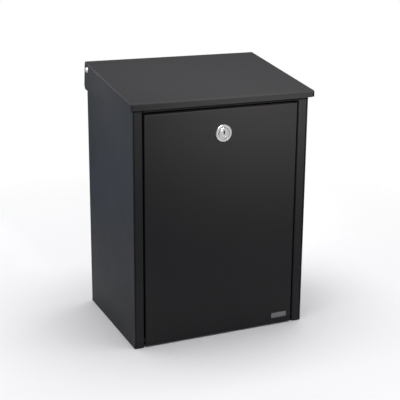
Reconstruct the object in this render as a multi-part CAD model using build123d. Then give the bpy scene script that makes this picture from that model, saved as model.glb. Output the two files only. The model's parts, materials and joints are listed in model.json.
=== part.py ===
from build123d import *
from math import atan2, cos, tan
import os

# Wall-mounted parcel drop box of folded sheet steel: sloping lift-up lid, drop-down locking door.
#
# Millimetres, +Z up. The parts are drawn with y = 0 on the front face of the body and x = 0 on its
# middle plane, then moved back so that the origin is the centre of the footprint, on the ground.

# ---------------------------------------------------------------- sheet and fits
SHEET = 1.5                # steel thickness
BEND = 2.0                 # outer bend radius of a folded edge
MID_BEND = BEND - SHEET / 2                # the same bend, on the middle of the sheet
RUN = 0.1                  # radial clearance of a running fit
SNUG = 0.05                # clearance of a fit that only locates
REST = 0.3                 # gap between parts that all but touch
CUT = 1.0                  # how far a cutter runs past the faces it cuts
NEAR = 0.1                 # how close an edge lies to the place it is picked by

# ---------------------------------------------------------------- body
BODY_W = 300.0             # outside the two side panels
BODY_D = 220.0             # front face to the rear edge of the side panels
STILE_W = 16.5             # width of the front frame beside the door
STILE_LEG_Y = 14.0         # rear edge of a stile's inner leg
STILE_BEND = 2.3           # bend radius of a stile, on the middle of its sheet
HALF_W = BODY_W / 2
INSIDE = HALF_W - SHEET                    # inner face of a side panel
OPENING = HALF_W - STILE_W                 # half-width of the door opening
BACK_MID_Y = BODY_D - SHEET / 2            # middle of the back panel's sheet

RAIL_BOTTOM_Z, RAIL_TOP_Z = 381.5, 393.0   # rail across the top of the door opening
RAIL_FLANGE_Y = 32.0       # rear edge of the rail's top flange
RAIL_CATCH_Y = 13.5        # rear face of the upturned lip that the lock's cam holds behind
RAIL_CATCH_Z = 388.0

FLOOR_FRONT_Y = 16.5
FLOOR_FLANGE = 12.0        # height of the floor pan's turned-up edges
STAND_HOLES_X, STAND_HOLES_Y, STAND_HOLE_R = 200.0, (60.0, 180.0), 3.5
DRAINS_X, DRAIN_Y, DRAIN_R = (-130.0, 130.0), 120.0, 2.5

BACK_TOP_Z = 399.0         # shoulder that the lid's rear edge swings down over
UPSTAND_Y, UPSTAND_Z = 199.5, 423.0        # middle and top of the upstand behind the opening
UPSTAND_HALF = 138.0
WALL_HOLES_X, WALL_HOLES_Z, WALL_HOLE_R = 200.0, (70.0, 310.0), 4.0

BAFFLE_TOP_Z, BAFFLE_FOLD_Z = 350.0, 330.0       # flat of the baffle against the back
BAFFLE_EDGE_Y, BAFFLE_EDGE_Z = 134.0, 294.0      # where its slope turns down again
BAFFLE_LIP_Z = 282.0
BAFFLE_HALF = 144.0
RIVETS_X, RIVET_Z, RIVET_R = (-120.0, -40.0, 40.0, 120.0), 341.0, 1.6
RIVET_HEAD_R, RIVET_HEAD_T, RIVET_DOME = 3.2, 1.2, 0.9

BUMPERS_X, BUMPER_Y = (-110.0, 110.0), 8.0
BUMPER_R, BUMPER_DOME = 4.5, 1.2
BUMPER_NECK_R, BUMPER_BULB_R, BUMPER_TAIL = 2.0, 3.0, 4.0

DOOR_STOPS_X, DOOR_STOP_HALF = (-102.0, 102.0), 12.0
DOOR_STOP_REACH = 14.0     # how far a stop tab hangs below the top of the door
DOOR_STOP_CORNER_R = 3.0

# ---------------------------------------------------------------- lid and its hinge
LID_SIDE = 6.0             # lid overhang past each side panel
LID_FRONT = 10.0           # lid overhang past the front face
LID_REAR_Y = 211.0         # rear edge of the lid's top
LID_FRONT_Z, LID_REAR_Z = 398.0, 430.0     # top of the lid at its front and rear edges
LID_BOTTOM_Z = 387.5       # lower edge of the lid's lip
FRONT_BEND = 3.0           # outer bend radius between the lid's top and its lip
LID_GAP = 3.0              # side panel's top edge to the underside of the lid
LID_HALF = HALF_W + LID_SIDE
LID_INSIDE = LID_HALF - SHEET
SKIRT_REAR_Z = 382.5       # lower rear corner of a skirt
SKIRT_CORNER_R = 9.0       # its rounding
SKIRT_TOE_R = 2.5          # rounding of a skirt's lower front corner
LIP_END_R = 2.0            # rounding of the lip's lower ends
CORNER_SLIT = 2.0          # open seam between the lip and a skirt
SLIT_TOP = 2.5             # sheet left over the seam

PIVOT_Y, PIVOT_Z = 196.0, 418.0            # axis of the lid hinge
EAR_R = 7.0                # side panel round the pivot
EAR_FRONT = 14.0           # where the ear starts, ahead of the pivot
EAR_NECK = 2.5             # slanted corner under the ear
PIN_R, PIN_TAIL = 3.0, 7.5                 # shank of a lid pivot, and its length inside the side panel
PIN_HEAD_R, PIN_HEAD_T, PIN_DOME = 4.4, 2.9, 2.4
BUSH_R = 5.0               # nylon bush in the skirt
SPACER_R = 6.5
PIVOT_NUT_R, PIVOT_NUT_T, PIVOT_NUT_EDGE = 5.0, 5.0, 0.5   # centre to flat, thickness, chamfer

# ---------------------------------------------------------------- door and its hinge
DOOR_GAP = 2.5             # beside the door
DOOR_TOP_Z, DOOR_BOTTOM_Z = 378.0, 1.5
DOOR_DEPTH = 13.0          # folded edges of the door
DOOR_FOOT_DEPTH = 9.0      # its bottom edge, which stops on the floor pan when the door is down
DOOR_HALF = OPENING - DOOR_GAP
CORNER_RELIEF, RELIEF_Y = 2.2, 3.5         # open corners between the door's folded edges
HINGE_Y, HINGE_Z = 6.5, 11.0               # axis of the door hinge
DOOR_PIN_R, DOOR_PIN_REACH = 2.5, 4.0
DOOR_PIN_SHOULDER_R = 3.4                  # keeps the door off the stile
DOOR_PIN_HEAD_T = 2.0
DOOR_BUSH_R = 3.8
DOOR_BUSH_FLANGE_R, DOOR_BUSH_FLANGE_T = 4.8, 1.2
BADGE_X, BADGE_Z = 108.0, 16.5             # blank plate in the lower corner
BADGE_W, BADGE_H, BADGE_T = 28.0, 9.0, 0.6
BADGE_CORNER_R, BADGE_EDGE = 1.5, 0.25

# ---------------------------------------------------------------- lock, on the middle of the door
LOCK_Z = 340.0
COLLAR_R, COLLAR_BORE_R, COLLAR_Y, COLLAR_ROUND = 14.0, 9.7, -3.4, 1.6
HEAD_R, HEAD_Y, HEAD_ROUND = 8.8, -4.0, 0.6        # face of the cylinder
LOCK_FLANGE_R, LOCK_FLANGE_T = 11.0, 1.2   # hidden flange that the ring traps against the door
LOCK_HOLE_R = 9.4
BARREL_R, BARREL_FLAT, BARREL_END_Y = 9.2, 8.2, 14.6
LOCK_WASHER_R, LOCK_WASHER_T = 12.5, 1.0
LOCK_NUT_R, LOCK_NUT_T, LOCK_NUT_EDGE = 12.0, 4.0, 0.6     # centre to flat, thickness, chamfer
PLUG_R, PLUG_SET_BACK, PLUG_EDGE = 6.3, 0.1, 0.3
PLUG_PROUD = 0.2           # plug past the rear of the barrel
SQUARE = 8.0               # drive square that turns the cam
KEY_HALF, KEY_BELOW, KEY_ABOVE, KEYWAY_DEPTH = 1.15, 1.9, 4.5, 9.0
SHUTTER_Y, SHUTTER_T = 1.0, 0.6            # dust flap, behind the face of the cylinder
CAM_Y, CAM_T = 15.0, 2.0
CAM_REACH, CAM_W, CAM_CORNER_R = 49.0, 15.0, 4.0
CAM_REAR_Y = CAM_Y + CAM_T
CAM_WASHER_R, CAM_WASHER_T = 6.0, 0.8
SCREW_R, SCREW_TIP_Y, SCREW_HOLE_Y = 2.4, 10.0, 9.0
SCREW_HEAD_R, SCREW_HEAD_T, SCREW_DOME = 4.5, 2.6, 1.2
CROSS_HALF, CROSS_W, CROSS_DEPTH = 3.2, 1.0, 1.2

# ---------------------------------------------------------------- places that follow
SLOPE = atan2(LID_REAR_Z - LID_FRONT_Z, LID_REAR_Y + LID_FRONT)
FOOTPRINT_MID_Y = (BODY_D - LID_FRONT) / 2


def lid_top(y):
    """Height of the lid's outer top surface."""
    return LID_FRONT_Z + (y + LID_FRONT) * tan(SLOPE)


def lid_under(y):
    """Height of its underside."""
    return lid_top(y) - SHEET / cos(SLOPE)


# ---------------------------------------------------------------- helpers
def block(x0, x1, y0, y1, z0, z1):
    """Box between two corners."""
    middle = Pos((x0 + x1) / 2, (y0 + y1) / 2, (z0 + z1) / 2)
    return middle * Box(abs(x1 - x0), abs(y1 - y0), abs(z1 - z0))


def rod_x(radius, x0, x1, y, z):
    """Cylinder along X."""
    return Pos((x0 + x1) / 2, y, z) * Rot(0, 90, 0) * Cylinder(radius, abs(x1 - x0))


def rod_y(radius, y0, y1, x=0.0, z=LOCK_Z):
    """Cylinder along Y, on the lock's axis unless placed elsewhere."""
    return Pos(x, (y0 + y1) / 2, z) * Rot(90, 0, 0) * Cylinder(radius, abs(y1 - y0))


def rod_z(radius, z0, z1, x, y):
    """Cylinder along Z."""
    return Pos(x, y, (z0 + z1) / 2) * Cylinder(radius, abs(z1 - z0))


def hexagon(to_flat, thickness):
    return extrude(RegularPolygon(to_flat, 6, major_radius=False), thickness)


def folded(points, radius=MID_BEND):
    """Section of a folded strip, from the middle line of its sheet."""
    return trace(FilletPolyline(*points, radius=radius), line_width=SHEET)


def along_x(section, half_length):
    """Extrudes a section drawn in (y, z) by half_length to each side of the middle plane."""
    return extrude(Plane.YZ * section, amount=half_length, both=True)


def both_sides(shape):
    """The shape and its mirror image across the middle plane, as separate solids."""
    return Compound(children=[shape, mirror(shape, about=Plane.YZ)])


def edges_at(shape, test):
    """Edges whose middle point passes the test."""
    return [edge for edge in shape.edges() if test(edge.center())]


def near(a, b):
    return abs(a - b) < NEAR


# ---------------------------------------------------------------- body
def side_panel():
    """Right-hand side panel: flat sheet with a sloping top and an ear round the lid pivot."""
    ear_y = PIVOT_Y - EAR_FRONT
    top = [(0, lid_under(0) - LID_GAP), (ear_y, lid_under(ear_y) - LID_GAP)]
    ear = [(PIVOT_Y, PIVOT_Z + EAR_R), (PIVOT_Y + EAR_R, PIVOT_Z), (PIVOT_Y + EAR_R, BACK_TOP_Z + EAR_NECK)]
    rear = [(PIVOT_Y + EAR_R + EAR_NECK, BACK_TOP_Z), (BODY_D, BACK_TOP_Z), (BODY_D, 0)]
    outline = make_face(Polyline((0, 0), *top, *ear, *rear, (0, 0)))
    outline += Pos(PIVOT_Y, PIVOT_Z) * Circle(EAR_R)
    panel = Pos(INSIDE, 0, 0) * extrude(Plane.YZ * outline, amount=SHEET)
    return panel - rod_x(PIN_R, INSIDE - CUT, HALF_W + CUT, PIVOT_Y, PIVOT_Z)


def back_panel():
    """Back with a shoulder and an upstand under the lid's rear edge, and four wall-fixing holes."""
    shoulder = BACK_TOP_Z - SHEET / 2
    section = folded([(BACK_MID_Y, 0), (BACK_MID_Y, shoulder), (UPSTAND_Y, shoulder), (UPSTAND_Y, UPSTAND_Z)])
    panel = along_x(section, INSIDE)
    for side in (-1, 1):
        panel -= block(side * UPSTAND_HALF, side * HALF_W, UPSTAND_Y - SHEET, UPSTAND_Y + SHEET,
                       BACK_TOP_Z, UPSTAND_Z + CUT)
    for x in (-WALL_HOLES_X / 2, WALL_HOLES_X / 2):
        for z in WALL_HOLES_Z:
            panel -= rod_y(WALL_HOLE_R, BODY_D - SHEET - CUT, BODY_D + CUT, x, z)
    return panel - baffle_rivet_holes()


def floor_pan():
    """Floor with its four edges turned up, holes for a stand and two drain holes."""
    rear_y = BODY_D - SHEET
    pan = block(-INSIDE, INSIDE, FLOOR_FRONT_Y, rear_y, 0, FLOOR_FLANGE)
    pan = fillet(edges_at(pan, lambda p: near(p.Z, 0)), BEND)
    pan -= block(-INSIDE + SHEET, INSIDE - SHEET, FLOOR_FRONT_Y + SHEET, rear_y - SHEET,
                 SHEET, FLOOR_FLANGE + CUT)
    for x in (-STAND_HOLES_X / 2, STAND_HOLES_X / 2):
        for y in STAND_HOLES_Y:
            pan -= rod_z(STAND_HOLE_R, -CUT, SHEET + CUT, x, y)
    for x in DRAINS_X:
        pan -= rod_z(DRAIN_R, -CUT, SHEET + CUT, x, DRAIN_Y)
    return pan


def front_stile():
    """Right-hand post of the front frame: a folded channel inside the side panel."""
    outer = INSIDE - SHEET / 2
    inner = OPENING + SHEET / 2
    front = SHEET / 2
    legs = [(outer, FLOOR_FRONT_Y - CUT), (outer, front), (inner, front), (inner, STILE_LEG_Y)]
    post = extrude(folded(legs, STILE_BEND), amount=RAIL_TOP_Z - SHEET)
    return post - rod_x(DOOR_PIN_R, OPENING - CUT, OPENING + SHEET + CUT, HINGE_Y, HINGE_Z)


def top_rail():
    """Rail over the door: a channel whose upturned rear lip is the lock's strike."""
    top = RAIL_TOP_Z - SHEET / 2
    bottom = RAIL_BOTTOM_Z + SHEET / 2
    front = SHEET / 2
    rear = RAIL_CATCH_Y - SHEET / 2
    section = folded([(RAIL_FLANGE_Y, top), (front, top), (front, bottom),
                      (rear, bottom), (rear, RAIL_CATCH_Z)])
    rail = along_x(section, OPENING - CUT)
    rail += block(-INSIDE, INSIDE, BEND, RAIL_FLANGE_Y, RAIL_TOP_Z - SHEET, RAIL_TOP_Z)
    for x in BUMPERS_X:
        rail -= rod_z(BUMPER_NECK_R, RAIL_TOP_Z - SHEET - CUT, RAIL_TOP_Z + CUT, x, BUMPER_Y)
    return rail


def door_stops():
    """Two tabs behind the rail's lip that the closed door rests against."""
    made = []
    for x in DOOR_STOPS_X:
        tab = block(x - DOOR_STOP_HALF, x + DOOR_STOP_HALF, RAIL_CATCH_Y, RAIL_CATCH_Y + SHEET,
                    DOOR_TOP_Z - DOOR_STOP_REACH, RAIL_CATCH_Z)
        low_corners = [edge for edge in tab.edges().filter_by(Axis.Y) if edge.center().Z < DOOR_TOP_Z]
        made.append(fillet(low_corners, DOOR_STOP_CORNER_R))
    return Compound(children=made)


def baffle_rivet_holes():
    y0 = BODY_D - 2 * SHEET - CUT
    return Compound(children=[rod_y(RIVET_R, y0, BODY_D + CUT, x, RIVET_Z) for x in RIVETS_X])


def baffle():
    """Sloping anti-theft plate on the back, under the deposit opening."""
    flat_y = BACK_MID_Y - SHEET
    section = folded([(flat_y, BAFFLE_TOP_Z), (flat_y, BAFFLE_FOLD_Z),
                      (BAFFLE_EDGE_Y, BAFFLE_EDGE_Z), (BAFFLE_EDGE_Y, BAFFLE_LIP_Z)])
    return along_x(section, BAFFLE_HALF) - baffle_rivet_holes()


def baffle_rivets():
    """Rivets flush with the rear of the back panel, domed inside."""
    made = []
    inner = BODY_D - 2 * SHEET
    face = inner - RIVET_HEAD_T
    for x in RIVETS_X:
        head = rod_y(RIVET_HEAD_R, face, inner, x, RIVET_Z)
        head = fillet(edges_at(head, lambda p: near(p.Y, face)), RIVET_DOME)
        made.append(head + rod_y(RIVET_R, inner, BODY_D, x, RIVET_Z))
    return Compound(children=made)


def lid_bumpers():
    """Rubber buttons on the rail that the lid comes down on."""
    top = lid_under(BUMPER_Y - BUMPER_R) - REST
    tail = RAIL_TOP_Z - BUMPER_TAIL
    made = []
    for x in BUMPERS_X:
        button = rod_z(BUMPER_R, RAIL_TOP_Z, top, x, BUMPER_Y)
        button = fillet(edges_at(button, lambda p: near(p.Z, top)), BUMPER_DOME)
        button += rod_z(BUMPER_NECK_R, tail, RAIL_TOP_Z, x, BUMPER_Y)
        button += rod_z(BUMPER_BULB_R, tail, RAIL_TOP_Z - SHEET, x, BUMPER_Y)
        made.append(button)
    return Compound(children=made)


# ---------------------------------------------------------------- lid and its hinge
def lid_panel():
    """Wedge-shaped lid: sloping top, front lip, and a skirt each side that carries the hinge."""
    corner_y = LID_REAR_Y + (LID_REAR_Z - SKIRT_REAR_Z) * tan(SLOPE)
    outline = make_face(Polyline(
        (-LID_FRONT, LID_BOTTOM_Z), (-LID_FRONT, LID_FRONT_Z),
        (LID_REAR_Y, LID_REAR_Z), (corner_y, SKIRT_REAR_Z), (-LID_FRONT, LID_BOTTOM_Z)))
    outline = fillet(outline.vertices().sort_by(Axis.X)[-1], SKIRT_CORNER_R)
    outline = fillet(outline.vertices().group_by(Axis.X)[0].sort_by(Axis.Y)[-1], FRONT_BEND)
    shell = along_x(outline, LID_HALF)
    shell = fillet(edges_at(shell, lambda p: near(abs(p.X), LID_HALF) and p.Z > LID_FRONT_Z
                            and p.Y < LID_REAR_Y - BEND), BEND)

    lip_rear = -LID_FRONT + SHEET
    past_rear = BODY_D + 2 * SKIRT_CORNER_R
    hollow = make_face(Polyline(
        (lip_rear, 0), (lip_rear, lid_under(lip_rear)), (past_rear, lid_under(past_rear)),
        (past_rear, 0), (lip_rear, 0)))
    inner_fold = hollow.vertices().group_by(Axis.X)[0].sort_by(Axis.Y)[-1]
    shell -= along_x(fillet(inner_fold, FRONT_BEND - SHEET), LID_INSIDE)
    for side in (-1, 1):
        shell -= block(side * (LID_INSIDE - CORNER_SLIT), side * LID_INSIDE,
                       -LID_FRONT - CUT, lip_rear, LID_BOTTOM_Z - CUT, LID_FRONT_Z - SLIT_TOP)
        shell -= toe_corner(side)
        shell -= rod_x(BUSH_R, side * (LID_INSIDE - CUT), side * (LID_HALF + CUT), PIVOT_Y, PIVOT_Z)
    lip_ends = edges_at(shell, lambda p: near(abs(p.X), LID_INSIDE - CORNER_SLIT) and near(p.Z, LID_BOTTOM_Z)
                        and p.Y < 0)
    return fillet(lip_ends, LIP_END_R)


def toe_corner(side):
    """What is cut away to round a skirt's lower front corner."""
    y, z = SKIRT_TOE_R - LID_FRONT, LID_BOTTOM_Z + SKIRT_TOE_R
    corner = block(side * LID_INSIDE, side * (LID_HALF + CUT), -LID_FRONT - CUT, y, LID_BOTTOM_Z - CUT, z)
    return corner - rod_x(SKIRT_TOE_R, side * (LID_INSIDE - CUT), side * (LID_HALF + 2 * CUT), y, z)


def lid_bush():
    bush = rod_x(BUSH_R, LID_INSIDE - RUN, LID_HALF + RUN, PIVOT_Y, PIVOT_Z)
    return bush - rod_x(PIN_R + RUN, LID_INSIDE - CUT, LID_HALF + CUT, PIVOT_Y, PIVOT_Z)


def pivot_pin():
    """Shouldered pivot: domed head outside the skirt, threaded end inside the side panel."""
    head_x = LID_HALF + REST
    tip_x = head_x + PIN_HEAD_T
    head = rod_x(PIN_HEAD_R, head_x, tip_x, PIVOT_Y, PIVOT_Z)
    head = fillet(edges_at(head, lambda p: near(p.X, tip_x)), PIN_DOME)
    return head + rod_x(PIN_R, INSIDE - PIN_TAIL, head_x, PIVOT_Y, PIVOT_Z)


def pivot_spacer():
    spacer = rod_x(SPACER_R, HALF_W, LID_INSIDE - REST, PIVOT_Y, PIVOT_Z)
    return spacer - rod_x(PIN_R, HALF_W - CUT, LID_INSIDE, PIVOT_Y, PIVOT_Z)


def pivot_nut():
    free_face = INSIDE - PIVOT_NUT_T
    nut = Pos(free_face, PIVOT_Y, PIVOT_Z) * Rot(0, 90, 0) * hexagon(PIVOT_NUT_R, PIVOT_NUT_T)
    nut = chamfer(edges_at(nut, lambda p: near(p.X, free_face)), PIVOT_NUT_EDGE)
    return nut - rod_x(PIN_R, free_face - CUT, INSIDE + CUT, PIVOT_Y, PIVOT_Z)


# ---------------------------------------------------------------- door and its hinge
def door_panel():
    """Shallow folded pan, hinged at its foot, with the lock hole near its top."""
    pan = block(-DOOR_HALF, DOOR_HALF, 0, DOOR_DEPTH, DOOR_BOTTOM_Z, DOOR_TOP_Z)
    pan = fillet(edges_at(pan, lambda p: near(p.Y, 0)), BEND)
    pan -= block(-DOOR_HALF + SHEET, DOOR_HALF - SHEET, SHEET, DOOR_DEPTH + CUT,
                 DOOR_BOTTOM_Z + SHEET, DOOR_TOP_Z - SHEET)
    relief_x = DOOR_HALF - CORNER_RELIEF
    for side in (-1, 1):
        for z in (DOOR_BOTTOM_Z, DOOR_TOP_Z):
            pan -= block(side * relief_x, side * (DOOR_HALF + CUT), RELIEF_Y, DOOR_DEPTH + CUT,
                         z - CORNER_RELIEF, z + CORNER_RELIEF)
        pan -= rod_x(DOOR_BUSH_R, side * (DOOR_HALF - SHEET - CUT), side * (DOOR_HALF + CUT),
                     HINGE_Y, HINGE_Z)
    pan -= block(-relief_x, relief_x, DOOR_FOOT_DEPTH, DOOR_DEPTH + CUT,
                 DOOR_BOTTOM_Z - CUT, DOOR_BOTTOM_Z + SHEET)
    return pan - rod_y(LOCK_HOLE_R, -CUT, SHEET + CUT)


def door_pin():
    """Pin through the stile's inner leg, with a shoulder in the gap beside the door."""
    inner_face = OPENING + SHEET
    pin = rod_x(DOOR_PIN_R, DOOR_HALF - DOOR_PIN_REACH, inner_face, HINGE_Y, HINGE_Z)
    pin += rod_x(DOOR_PIN_SHOULDER_R, DOOR_HALF + 2 * REST, OPENING, HINGE_Y, HINGE_Z)
    return pin + rod_x(DOOR_PIN_SHOULDER_R, inner_face, inner_face + DOOR_PIN_HEAD_T, HINGE_Y, HINGE_Z)


def door_bush():
    """Nylon bush in the door's folded edge, flanged on the inside."""
    inner_face = DOOR_HALF - SHEET
    bush = rod_x(DOOR_BUSH_R, inner_face, DOOR_HALF + REST, HINGE_Y, HINGE_Z)
    bush += rod_x(DOOR_BUSH_FLANGE_R, inner_face - DOOR_BUSH_FLANGE_T, inner_face, HINGE_Y, HINGE_Z)
    return bush - rod_x(DOOR_PIN_R + RUN, DOOR_HALF - DOOR_PIN_REACH, DOOR_HALF + CUT, HINGE_Y, HINGE_Z)


def badge():
    """Blank plate with softened corners."""
    plate = Pos(BADGE_X, -BADGE_T / 2, BADGE_Z) * Box(BADGE_W, BADGE_T, BADGE_H)
    plate = fillet(plate.edges().filter_by(Axis.Y), BADGE_CORNER_R)
    return chamfer(edges_at(plate, lambda p: near(p.Y, -BADGE_T)), BADGE_EDGE)


# ---------------------------------------------------------------- lock
def lock_collar():
    """Ring round the lock, recessed behind for the cylinder's flange."""
    ring = rod_y(COLLAR_R, COLLAR_Y, 0)
    ring = fillet(edges_at(ring, lambda p: near(p.Y, COLLAR_Y)), COLLAR_ROUND)
    ring -= rod_y(COLLAR_BORE_R, COLLAR_Y - CUT, CUT)
    return ring - rod_y(LOCK_FLANGE_R + SNUG, -LOCK_FLANGE_T - RUN, CUT)


def lock_cylinder():
    """Fixed barrel with two flats, bored for the plug."""
    barrel = rod_y(BARREL_R, 0, BARREL_END_Y)
    barrel &= Pos(0, BARREL_END_Y / 2, LOCK_Z) * Box(2 * BARREL_FLAT, BARREL_END_Y + CUT, 2 * BARREL_R + CUT)
    head = rod_y(HEAD_R, HEAD_Y, -LOCK_FLANGE_T)
    head = fillet(edges_at(head, lambda p: near(p.Y, HEAD_Y)), HEAD_ROUND)
    flange = rod_y(LOCK_FLANGE_R, -LOCK_FLANGE_T, 0)
    return barrel + head + flange - rod_y(PLUG_R + RUN, HEAD_Y - CUT, BARREL_END_Y + CUT)


def lock_washer():
    washer = rod_y(LOCK_WASHER_R, SHEET, SHEET + LOCK_WASHER_T)
    return washer - rod_y(BARREL_R + RUN, SHEET - CUT, SHEET + LOCK_WASHER_T + CUT)


def lock_nut():
    rear = SHEET + LOCK_WASHER_T + LOCK_NUT_T
    nut = Pos(0, rear, LOCK_Z) * Rot(90, 0, 0) * hexagon(LOCK_NUT_R, LOCK_NUT_T)
    nut = chamfer(edges_at(nut, lambda p: near(p.Y, rear)), LOCK_NUT_EDGE)
    return nut - rod_y(BARREL_R + RUN, 0, rear + CUT)


def key_slot(y0, y1):
    return block(-KEY_HALF, KEY_HALF, y0, y1, LOCK_Z - KEY_BELOW, LOCK_Z + KEY_ABOVE)


def lock_plug():
    """Turning plug with its key slot, and the square behind it that drives the cam."""
    face = HEAD_Y + PLUG_SET_BACK
    plug = rod_y(PLUG_R, face, BARREL_END_Y + PLUG_PROUD)
    plug = chamfer(edges_at(plug, lambda p: near(p.Y, face)), PLUG_EDGE)
    half = SQUARE / 2
    plug += block(-half, half, BARREL_END_Y, CAM_REAR_Y, LOCK_Z - half, LOCK_Z + half)
    plug -= key_slot(HEAD_Y - CUT, HEAD_Y + KEYWAY_DEPTH)
    return plug - rod_y(SCREW_R, SCREW_HOLE_Y, CAM_REAR_Y + CUT)


def dust_shutter():
    """Spring-loaded flap just inside the key slot, shown closed."""
    return key_slot(HEAD_Y + SHUTTER_Y, HEAD_Y + SHUTTER_Y + SHUTTER_T)


def cam():
    """Flat lever. It points sideways here, and up behind the rail once turned a quarter."""
    lever = rod_y(CAM_W / 2, CAM_Y, CAM_REAR_Y)
    lever += block(0, CAM_REACH, CAM_Y, CAM_REAR_Y, LOCK_Z - CAM_W / 2, LOCK_Z + CAM_W / 2)
    tip = [edge for edge in lever.edges().filter_by(Axis.Y) if near(edge.center().X, CAM_REACH)]
    lever = fillet(tip, CAM_CORNER_R)
    half = SQUARE / 2 + SNUG
    return lever - block(-half, half, CAM_Y - CUT, CAM_REAR_Y + CUT, LOCK_Z - half, LOCK_Z + half)


def cam_washer():
    washer = rod_y(CAM_WASHER_R, CAM_REAR_Y, CAM_REAR_Y + CAM_WASHER_T)
    return washer - rod_y(SCREW_R + RUN, CAM_Y, CAM_REAR_Y + CAM_WASHER_T + CUT)


def cam_screw():
    """Domed screw with a cross recess."""
    y0 = CAM_REAR_Y + CAM_WASHER_T
    y1 = y0 + SCREW_HEAD_T
    head = rod_y(SCREW_HEAD_R, y0, y1)
    head = fillet(edges_at(head, lambda p: near(p.Y, y1)), SCREW_DOME)
    for width, height in ((2 * CROSS_HALF, CROSS_W), (CROSS_W, 2 * CROSS_HALF)):
        head -= Pos(0, y1, LOCK_Z) * Box(width, 2 * CROSS_DEPTH, height)
    return head + rod_y(SCREW_R, SCREW_TIP_Y, y0)


# ---------------------------------------------------------------- all nodes
NODES = {
    "right_side_panel": side_panel(),
    "left_side_panel": mirror(side_panel(), about=Plane.YZ),
    "back_panel": back_panel(),
    "floor_pan": floor_pan(),
    "right_front_stile": front_stile(),
    "left_front_stile": mirror(front_stile(), about=Plane.YZ),
    "top_front_rail": top_rail(),
    "door_stop_tabs": door_stops(),
    "anti_theft_baffle": baffle(),
    "baffle_rivets": baffle_rivets(),
    "lid_bumpers": lid_bumpers(),
    "lid_pivot_pins": both_sides(pivot_pin()),
    "lid_pivot_spacers": both_sides(pivot_spacer()),
    "lid_pivot_nuts": both_sides(pivot_nut()),
    "door_hinge_pins": both_sides(door_pin()),
    "lid_panel": lid_panel(),
    "lid_hinge_bushes": both_sides(lid_bush()),
    "door_panel": door_panel(),
    "door_hinge_bushes": both_sides(door_bush()),
    "badge_plate": badge(),
    "lock_collar": lock_collar(),
    "lock_cylinder": lock_cylinder(),
    "lock_washer": lock_washer(),
    "lock_nut": lock_nut(),
    "lock_plug": lock_plug(),
    "dust_shutter": dust_shutter(),
    "cam_lever": cam(),
    "cam_washer": cam_washer(),
    "cam_screw": cam_screw(),
}

os.makedirs("parts", exist_ok=True)
for name, shape in NODES.items():
    export_step(Pos(0, -FOOTPRINT_MID_Y, 0) * shape, f"parts/{name}.step")
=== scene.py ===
import json
from math import cos, pi, radians, sin

import bmesh
import bpy
from mathutils import Matrix, Vector


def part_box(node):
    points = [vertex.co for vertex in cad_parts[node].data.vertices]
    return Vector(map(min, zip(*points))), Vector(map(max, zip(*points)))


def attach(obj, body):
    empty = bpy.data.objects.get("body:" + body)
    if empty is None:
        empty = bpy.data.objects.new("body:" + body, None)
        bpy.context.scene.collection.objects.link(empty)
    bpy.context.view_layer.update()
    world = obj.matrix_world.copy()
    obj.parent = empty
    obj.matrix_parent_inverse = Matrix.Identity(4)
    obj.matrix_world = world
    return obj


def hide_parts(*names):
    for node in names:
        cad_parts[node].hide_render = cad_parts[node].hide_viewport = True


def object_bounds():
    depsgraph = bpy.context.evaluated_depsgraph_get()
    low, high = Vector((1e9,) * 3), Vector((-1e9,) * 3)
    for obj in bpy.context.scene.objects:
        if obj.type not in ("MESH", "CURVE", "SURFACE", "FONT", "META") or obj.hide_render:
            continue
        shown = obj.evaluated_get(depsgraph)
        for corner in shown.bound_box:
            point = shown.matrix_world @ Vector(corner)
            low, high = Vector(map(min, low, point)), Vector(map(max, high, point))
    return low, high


# Looks of a wall-mounted parcel drop box of black powder-coated sheet steel. Metres, in the CAD's own frame.
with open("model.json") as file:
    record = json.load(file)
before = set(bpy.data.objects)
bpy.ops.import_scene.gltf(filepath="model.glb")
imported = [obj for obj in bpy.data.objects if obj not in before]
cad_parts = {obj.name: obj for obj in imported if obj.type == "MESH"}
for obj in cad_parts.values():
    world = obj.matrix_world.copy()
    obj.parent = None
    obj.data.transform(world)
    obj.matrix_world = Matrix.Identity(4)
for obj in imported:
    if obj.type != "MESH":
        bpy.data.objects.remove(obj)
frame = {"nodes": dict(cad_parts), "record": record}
cad_low, cad_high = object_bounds()
MM = 0.001

# ---------------------------------------------------------------- camera, from the view fitted to the box
CAMERA_AZIMUTH = radians(-24.05)
CAMERA_ELEVATION = radians(15.63)
CAMERA_ROLL = radians(0.45)
CAMERA_DISTANCE = 1.6322
CAMERA_TARGET = Vector((0.0101, 0.005, 0.2342))
CAMERA_LENS = 86.955
CAMERA_SENSOR = 36.0
CAMERA_SHIFT = -0.05

# ---------------------------------------------------------------- edges
JOIN_DISTANCE = 0.002 * MM     # vertices closer than this are one vertex
FLAT_ANGLE = radians(0.3)      # triangles that meet flatter than this are one face
SHARP_ANGLE = radians(40)      # edges sharper than this are rounded
COAT_SOFTNESS = 0.35 * MM      # rounding that the coat gives a cut edge
DRESSED_SOFTNESS = 0.6 * MM    # the lid and side panels are within reach, so their edges are dressed rounder
MOULDED_SOFTNESS = 0.2 * MM
PLATED_SOFTNESS = 0.15 * MM
TURNED_SOFTNESS = 0.12 * MM
THIN_SOFTNESS = 0.08 * MM      # the badge and the rivets
CLOSE_SOFTNESS = 0.05 * MM     # small parts that fit closely

# ---------------------------------------------------------------- colours
POWDER = (0.0112, 0.0111, 0.0115)
POWDER_LIFT = 1.15             # how much lighter the coat's clouds are
POWDER_FLECK = (0.050, 0.050, 0.052)
# painted highlight: a lighter colour laid along the folds and edges where light catches them
POWDER_EDGE_HIGHLIGHT = (0.065, 0.065, 0.067)
CHROME = (0.80, 0.79, 0.77)
STAINLESS = (0.84, 0.83, 0.81)
BLACKENED = (0.05, 0.05, 0.05)
ZINC = (0.60, 0.61, 0.60)
ALLOY = (0.66, 0.66, 0.67)
GREY_ALLOY = (0.24, 0.24, 0.245)
NYLON = (0.022, 0.022, 0.023)
RUBBER = (0.014, 0.014, 0.014)

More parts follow.
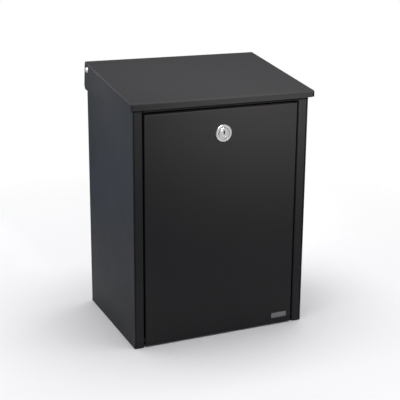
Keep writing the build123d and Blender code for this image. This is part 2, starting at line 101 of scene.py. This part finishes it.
# ---------------------------------------------------------------- powder coat, scales in features per metre
POWDER_SPECULAR = 0.25
POWDER_ROUGHNESS = (0.56, 0.60)
CLOUD_SCALE = 9.0
SHEEN_SCALE = 28.0
# size of the patches of the painted edge highlight along an edge
EDGE_HIGHLIGHT_SCALE = 60.0
FLECK_SCALE = 2600.0
FLECK_STRENGTH = 0.30
EDGE_HIGHLIGHT_WIDTH = 1.2 * MM
EDGE_HIGHLIGHT_STRENGTH = (0.30, 0.75)    # along an edge the painted highlight comes and goes between these
EDGE_POLISH = 0.12              # how much less rough the edges under the painted highlight are
PEEL_SCALE = 420.0             # orange peel
PEEL_DEPTH = 0.08 * MM
GRAIN_SCALE = 1500.0
GRAIN_DEPTH = 0.035 * MM
MID_NOISE = (0.3, 0.7)         # the part of a noise's range that is stretched over an effect

# ---------------------------------------------------------------- metals and mouldings
BRUSH_SCALE = 1400.0
BRUSH_DEPTH = 0.006 * MM       # of streaks that run along the axis with the smallest factor
BRUSHED_ALONG_X = (0.04, 1.0, 1.0)
SATIN_ALONG_X = (0.3, 1.0, 1.0)
SATIN_ALONG_Z = (1.0, 1.0, 0.3)
BRUSHED_ALONG_Z = (1.0, 1.0, 0.2)
RING_PITCH = 0.25 * MM
RING_DEPTH = 0.004 * MM
SPARK_DEPTH = 0.02 * MM        # of a spark-eroded mould's grain
NYLON_GRAIN = 1500.0
RUBBER_GRAIN = 900.0

# ---------------------------------------------------------------- studio
WHITE = (1.0, 1.0, 1.0)
COOL_WHITE = (0.90, 0.94, 1.0)
WARM_WHITE = (1.0, 0.965, 0.955)
WARMER_WHITE = (1.0, 0.94, 0.90)
BLUE = (0.40, 0.62, 1.0)
AMBIENT_COLOUR = (0.83, 0.89, 1.0)
AMBIENT_STRENGTH = 0.36
FLOOR_REACH = 0.95             # half the floor's side, and where it has faded out
FLOOR_FADE = 0.75              # the part of that reach over which it fades
FLOOR_GAP = 0.2 * MM           # below the box's foot
FLOOR_TINTS = (0.88, 0.91)
FLOOR_ROUGHNESS = 0.9
SPOT_RADIUS = 0.12             # a large lamp, so its shadows are soft

# Lamps that face the box: place, target, width and height, power in watts, colour.
AREA_LIGHTS = {
    "top_softbox": ((0.0, 0.0, 2.4), (0.0, 0.0, 0.22), (2.0, 1.6), 53.5, WARM_WHITE),
    "rear_softbox": ((0.35, 1.9, 1.15), (0.0, 0.0, 0.42), (1.6, 0.7), 0.25, WHITE),
    "lock_card": ((0.40, -1.0, 0.10), (0.0, -0.11, 0.34), (0.3, 0.3), 0.16, WHITE),
    "left_card": ((-0.6, 0.6, 0.05), (-0.15, -0.05, 0.02), (0.5, 0.08), 0.3, BLUE),
}
# Lamps that throw a pool: place, target, cone in degrees, power in watts, colour, width over height.
SPOT_LIGHTS = {
    "skirt_spot": ((-1.2, 0.9, 0.9), (-0.156, 0.03, 0.43), 14.0, 115.0, COOL_WHITE, 1.0),
    "door_spot": ((0.0, -1.45, 1.05), (0.13, -0.11, 0.45), 17.5, 226.0, WARMER_WHITE, 1.7),
}


# ================================================================ shader helpers
def scaled(colour, factor):
    return tuple(factor * c for c in colour)


class Shader:
    """A Principled material and short ways to add nodes to it."""

    def __init__(self, name, **sockets):
        self.material = bpy.data.materials.new(name)
        self.material.use_nodes = True
        self.nodes = self.material.node_tree.nodes
        self.links = self.material.node_tree.links
        self.surface = self.nodes["Principled BSDF"]
        self.place = self.nodes.new("ShaderNodeTexCoord").outputs["Object"]
        for socket, value in sockets.items():
            self.surface.inputs[socket.replace("_", " ")].default_value = value

    def noise(self, scale, detail=2.0, stretch=None):
        """Noise value. scale is in features per metre and stretch scales the axes apart."""
        node = self.nodes.new("ShaderNodeTexNoise")
        node.inputs["Scale"].default_value = scale
        node.inputs["Detail"].default_value = detail
        self.links.new(self.stretched(stretch), node.inputs["Vector"])
        return node.outputs["Fac"]

    def stretched(self, stretch):
        """The place on the object, with its axes scaled by stretch."""
        if stretch is None:
            return self.place
        node = self.nodes.new("ShaderNodeMapping")
        node.inputs["Scale"].default_value = stretch
        self.links.new(self.place, node.inputs["Vector"])
        return node.outputs["Vector"]

    def remap(self, value, source, target):
        """Carries the source range of a value over to the target range, and holds it there."""
        node = self.nodes.new("ShaderNodeMapRange")
        self.links.new(value, node.inputs["Value"])
        for socket, number in zip(("From Min", "From Max", "To Min", "To Max"), (*source, *target)):
            node.inputs[socket].default_value = number
        return node.outputs["Result"]

    def maths(self, operation, *values):
        node = self.nodes.new("ShaderNodeMath")
        node.operation = operation
        for socket, value in zip(node.inputs, values):
            if isinstance(value, (int, float)):
                socket.default_value = value
            else:
                self.links.new(value, socket)
        return node.outputs["Value"]

    def vector_maths(self, operation, first, second=None):
        """second is another node's output or a fixed vector."""
        node = self.nodes.new("ShaderNodeVectorMath")
        node.operation = operation
        self.links.new(first, node.inputs[0])
        if isinstance(second, (tuple, Vector)):
            node.inputs[1].default_value = second
        elif second is not None:
            self.links.new(second, node.inputs[1])
        return node.outputs

    def mix(self, factor, low, high):
        """low where the factor is 0 and high where it is 1. Each is a colour or another node's output."""
        node = self.nodes.new("ShaderNodeMix")
        node.data_type = "RGBA"
        self.links.new(factor, node.inputs["Factor"])
        colour_a, colour_b, colour_result = node.inputs[6], node.inputs[7], node.outputs[2]
        for socket, colour in ((colour_a, low), (colour_b, high)):
            if isinstance(colour, tuple):
                socket.default_value = (*colour, 1.0)
            else:
                self.links.new(colour, socket)
        return colour_result

    def edges(self, radius):
        """1 near sharp edges and 0 on open faces."""
        bevel = self.nodes.new("ShaderNodeBevel")
        bevel.samples = 4
        bevel.inputs["Radius"].default_value = radius
        flat = self.nodes.new("ShaderNodeNewGeometry").outputs["Normal"]
        agreement = self.vector_maths("DOT_PRODUCT", bevel.outputs["Normal"], flat)["Value"]
        return self.remap(agreement, (0.995, 0.90), (0.0, 1.0))

    def bump(self, height, depth, strength, under=None):
        """Bumps the surface, on top of an earlier bump if there is one under it."""
        node = self.nodes.new("ShaderNodeBump")
        node.inputs["Distance"].default_value = depth
        node.inputs["Strength"].default_value = strength
        self.links.new(height, node.inputs["Height"])
        if under is not None:
            self.links.new(under, node.inputs["Normal"])
        self.set("Normal", node.outputs["Normal"])
        return node.outputs["Normal"]

    def set(self, socket, value):
        self.links.new(value, self.surface.inputs[socket])


# ================================================================ finishes
def powder_coat():
    """Matt black powder coat: orange peel, fine grain, patchy sheen, and a painted highlight along the
    edges, where the coat is also less rough.
    """
    coat = Shader("black_powder_coat", Specular_IOR_Level=POWDER_SPECULAR)
    clouded = coat.mix(coat.noise(CLOUD_SCALE, 3.0), POWDER, scaled(POWDER, POWDER_LIFT))
    flecks = coat.remap(coat.noise(FLECK_SCALE, 1.0), (0.66, 0.80), (0.0, 1.0))
    flecked = coat.mix(coat.maths("MULTIPLY", flecks, FLECK_STRENGTH), clouded, POWDER_FLECK)
    # painted highlight along folds and edges: lighter colour and lower roughness, coming and going along
    # each edge
    edge_highlight_patches = coat.remap(coat.noise(EDGE_HIGHLIGHT_SCALE), (0.35, 0.7), EDGE_HIGHLIGHT_STRENGTH)
    edge_highlight = coat.maths("MULTIPLY", coat.edges(EDGE_HIGHLIGHT_WIDTH), edge_highlight_patches)
    coat.set("Base Color", coat.mix(edge_highlight, flecked, POWDER_EDGE_HIGHLIGHT))
    sheen = coat.remap(coat.noise(SHEEN_SCALE, 3.0), MID_NOISE, POWDER_ROUGHNESS)
    coat.set("Roughness", coat.maths("SUBTRACT", sheen, coat.maths("MULTIPLY", edge_highlight, EDGE_POLISH)))
    peel = coat.bump(coat.noise(PEEL_SCALE, 1.5), PEEL_DEPTH, 0.9)
    coat.bump(coat.noise(GRAIN_SCALE, 2.0), GRAIN_DEPTH, 0.8, peel)
    return coat.material


def satin_metal(name, colour, roughness, stretch):
    """Brushed metal: fine streaks, in both bump and roughness."""
    metal = Shader(name, Metallic=1.0)
    streaks = metal.noise(BRUSH_SCALE, 3.0, stretch)
    metal.set("Base Color", metal.mix(metal.noise(90.0), scaled(colour, 0.86), colour))
    metal.set("Roughness", metal.remap(streaks, MID_NOISE, (roughness - 0.06, roughness + 0.08)))
    metal.bump(streaks, BRUSH_DEPTH, 0.6)
    return metal.material


def turned_metal(name, colour, roughness, centre):
    """Metal faced on a lathe: rings round an axis along Y through centre."""
    metal = Shader(name, Metallic=1.0)
    from_centre = metal.vector_maths("SUBTRACT", metal.place, centre)["Vector"]
    across = metal.vector_maths("MULTIPLY", from_centre, (1.0, 0.0, 1.0))["Vector"]
    radius = metal.vector_maths("LENGTH", across)["Value"]
    rings = metal.maths("SINE", metal.maths("MULTIPLY", radius, 2 * pi / RING_PITCH))
    blotches = metal.noise(260.0)
    metal.set("Base Color", metal.mix(blotches, scaled(colour, 0.82), colour))
    metal.set("Roughness", metal.remap(blotches, MID_NOISE, (roughness - 0.05, roughness + 0.07)))
    metal.bump(rings, RING_DEPTH, 0.5)
    return metal.material


def moulded(name, colour, roughness, grain):
    """Moulded plastic or rubber with a fine spark-eroded grain."""
    plastic = Shader(name)
    patch = plastic.noise(180.0)
    plastic.set("Base Color", plastic.mix(patch, colour, scaled(colour, 1.5)))
    plastic.set("Roughness", plastic.remap(patch, MID_NOISE, (roughness - 0.05, roughness + 0.05)))
    plastic.bump(plastic.noise(grain), SPARK_DEPTH, 0.5)
    return plastic.material


# ================================================================ pieces
SLOT_OF = {row["node"]: row["material_slot"] for row in frame["record"]["subparts"]}
BODY_OF = {node: body for body, nodes in frame["record"]["behaviour"]["bodies"].items() for node in nodes}


def welded_copy(node):
    """A CAD node's mesh with its vertices joined and its flat triangles merged."""
    mesh = frame["nodes"][node].data.copy()
    shape = bmesh.new()
    shape.from_mesh(mesh)
    bmesh.ops.remove_doubles(shape, verts=shape.verts, dist=JOIN_DISTANCE)
    bmesh.ops.dissolve_limit(shape, angle_limit=FLAT_ANGLE, verts=shape.verts, edges=shape.edges)
    for face in shape.faces:
        face.smooth = True
    shape.to_mesh(mesh)
    shape.free()
    return mesh


def refined(node, material, softness):
    """Replaces a CAD node with a copy whose sharp edges are softened, as a coated or tumbled edge is."""
    piece = bpy.data.objects.new("fine_" + node, welded_copy(node))
    bpy.context.scene.collection.objects.link(piece)
    piece.data.materials.clear()
    piece.data.materials.append(material)
    bevel = piece.modifiers.new("soft_edges", "BEVEL")
    bevel.width = softness
    bevel.segments = 2
    bevel.limit_method = "ANGLE"
    bevel.angle_limit = SHARP_ANGLE
    shading = piece.modifiers.new("flat_faces_stay_flat", "WEIGHTED_NORMAL")
    shading.weight = 80
    shading.keep_sharp = True
    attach(piece, BODY_OF[node])
    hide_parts(node)


def centre_of(node):
    low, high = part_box(node)
    return (low + high) / 2


def build_pieces():
    """Every CAD node, refined in its slot's finish, with a few that are finished otherwise."""
    coat = powder_coat()
    chrome = turned_metal("chrome_plate", CHROME, 0.24, centre_of("lock_collar"))
    stainless = satin_metal("stainless_steel", STAINLESS, 0.44, BRUSHED_ALONG_Z)
    blackened = satin_metal("blackened_steel", BLACKENED, 0.45, SATIN_ALONG_Z)
    zinc = satin_metal("zinc_plated_steel", ZINC, 0.36, SATIN_ALONG_X)
    alloy = satin_metal("anodised_aluminium", ALLOY, 0.38, BRUSHED_ALONG_X)
    grey_alloy = satin_metal("grey_aluminium", GREY_ALLOY, 0.46, BRUSHED_ALONG_X)
    nylon = moulded("nylon", NYLON, 0.50, NYLON_GRAIN)
    rubber = moulded("rubber", RUBBER, 0.72, RUBBER_GRAIN)
    finish = {
        "black_powder_coat": (coat, COAT_SOFTNESS),
        "chrome_plate": (chrome, PLATED_SOFTNESS),
        "stainless_steel": (stainless, TURNED_SOFTNESS),
        "blackened_steel": (blackened, CLOSE_SOFTNESS),
        "zinc_plated_steel": (zinc, PLATED_SOFTNESS),
        "anodised_aluminium": (alloy, THIN_SOFTNESS),
        "nylon": (nylon, MOULDED_SOFTNESS),
        "rubber": (rubber, MOULDED_SOFTNESS),
    }
    special = {
        "lid_panel": (coat, DRESSED_SOFTNESS),
        "left_side_panel": (coat, DRESSED_SOFTNESS),
        "right_side_panel": (coat, DRESSED_SOFTNESS),
        "badge_plate": (grey_alloy, THIN_SOFTNESS),
    }
    for node, slot in SLOT_OF.items():
        refined(node, *special.get(node, finish[slot]))


# ================================================================ studio
def hang(name, lamp, place, target):
    """Puts a lamp in the scene, facing its target."""
    holder = bpy.data.objects.new(name, lamp)
    holder.location = place
    holder.rotation_euler = (Vector(target) - Vector(place)).to_track_quat("-Z", "Y").to_euler()
    bpy.context.scene.collection.objects.link(holder)
    return holder


def area_light(name, place, target, size, power, colour):
    lamp = bpy.data.lights.new(name, "AREA")
    lamp.shape = "RECTANGLE"
    lamp.size, lamp.size_y = size
    lamp.energy = power
    lamp.color = colour
    hang(name, lamp, place, target)


def spot_light(name, place, target, cone, power, colour, stretch):
    """A lamp whose pool of light fades from its middle to its edge."""
    lamp = bpy.data.lights.new(name, "SPOT")
    lamp.spot_size = radians(cone)
    lamp.spot_blend = 1.0
    lamp.shadow_soft_size = SPOT_RADIUS
    lamp.energy = power
    lamp.color = colour
    hang(name, lamp, place, target).scale.x = stretch


def build_lights():
    """Top and rear softboxes, two low cards, a cool pool on the left skirt and a warm one on the door."""
    for name, settings in AREA_LIGHTS.items():
        area_light(name, *settings)
    for name, settings in SPOT_LIGHTS.items():
        spot_light(name, *settings)


def build_world():
    """A white backdrop that lights the box less than it shows, as a studio's far walls do."""
    world = bpy.data.worlds.new("studio")
    world.use_nodes = True
    nodes, links = world.node_tree.nodes, world.node_tree.links
    ambient = nodes["Background"]
    ambient.inputs["Color"].default_value = (*AMBIENT_COLOUR, 1.0)
    ambient.inputs["Strength"].default_value = AMBIENT_STRENGTH
    backdrop = nodes.new("ShaderNodeBackground")
    backdrop.inputs["Color"].default_value = (*WHITE, 1.0)
    seen = nodes.new("ShaderNodeLightPath").outputs["Is Camera Ray"]
    choice = nodes.new("ShaderNodeMixShader")
    links.new(seen, choice.inputs["Fac"])
    links.new(ambient.outputs["Background"], choice.inputs[1])
    links.new(backdrop.outputs["Background"], choice.inputs[2])
    links.new(choice.outputs["Shader"], nodes["World Output"].inputs["Surface"])
    bpy.context.scene.world = world


def build_floor():
    """A pale floor that fades into the backdrop away from the box."""
    paint = Shader("studio_floor", Roughness=FLOOR_ROUGHNESS)
    dark, light = (scaled(WHITE, tint) for tint in FLOOR_TINTS)
    paint.set("Base Color", paint.mix(paint.noise(0.8), dark, light))
    ball = paint.nodes.new("ShaderNodeTexGradient")
    ball.gradient_type = "SPHERICAL"
    paint.links.new(paint.stretched((1 / FLOOR_REACH,) * 3), ball.inputs["Vector"])
    paint.set("Alpha", paint.remap(ball.outputs["Fac"], (0.0, FLOOR_FADE), (0.0, 1.0)))
    mesh = bpy.data.meshes.new("studio_floor")
    corners = [(x * FLOOR_REACH, y * FLOOR_REACH, 0.0) for x, y in ((-1, -1), (1, -1), (1, 1), (-1, 1))]
    mesh.from_pydata(corners, [], [(0, 1, 2, 3)])
    mesh.materials.append(paint.material)
    floor = bpy.data.objects.new("studio_floor", mesh)
    floor.location.z = cad_low.z - FLOOR_GAP
    bpy.context.scene.collection.objects.link(floor)


def build_camera():
    lens = bpy.data.cameras.new("camera")
    lens.lens = CAMERA_LENS
    lens.sensor_width = CAMERA_SENSOR
    lens.shift_y = CAMERA_SHIFT
    camera = bpy.data.objects.new("camera", lens)
    back = Vector((sin(CAMERA_AZIMUTH) * cos(CAMERA_ELEVATION),
                   -cos(CAMERA_AZIMUTH) * cos(CAMERA_ELEVATION), sin(CAMERA_ELEVATION)))
    right = Vector((cos(CAMERA_AZIMUTH), sin(CAMERA_AZIMUTH), 0.0))
    turn = Matrix.Rotation(CAMERA_ROLL, 3, back)
    axes = Matrix((turn @ right, turn @ back.cross(right), back)).transposed()
    camera.matrix_world = Matrix.Translation(CAMERA_TARGET + CAMERA_DISTANCE * back) @ axes.to_4x4()
    bpy.context.scene.collection.objects.link(camera)
    bpy.context.scene.camera = camera


build_pieces()
build_world()
build_floor()
build_lights()
build_camera()
bpy.context.scene.view_settings.view_transform = "Standard"
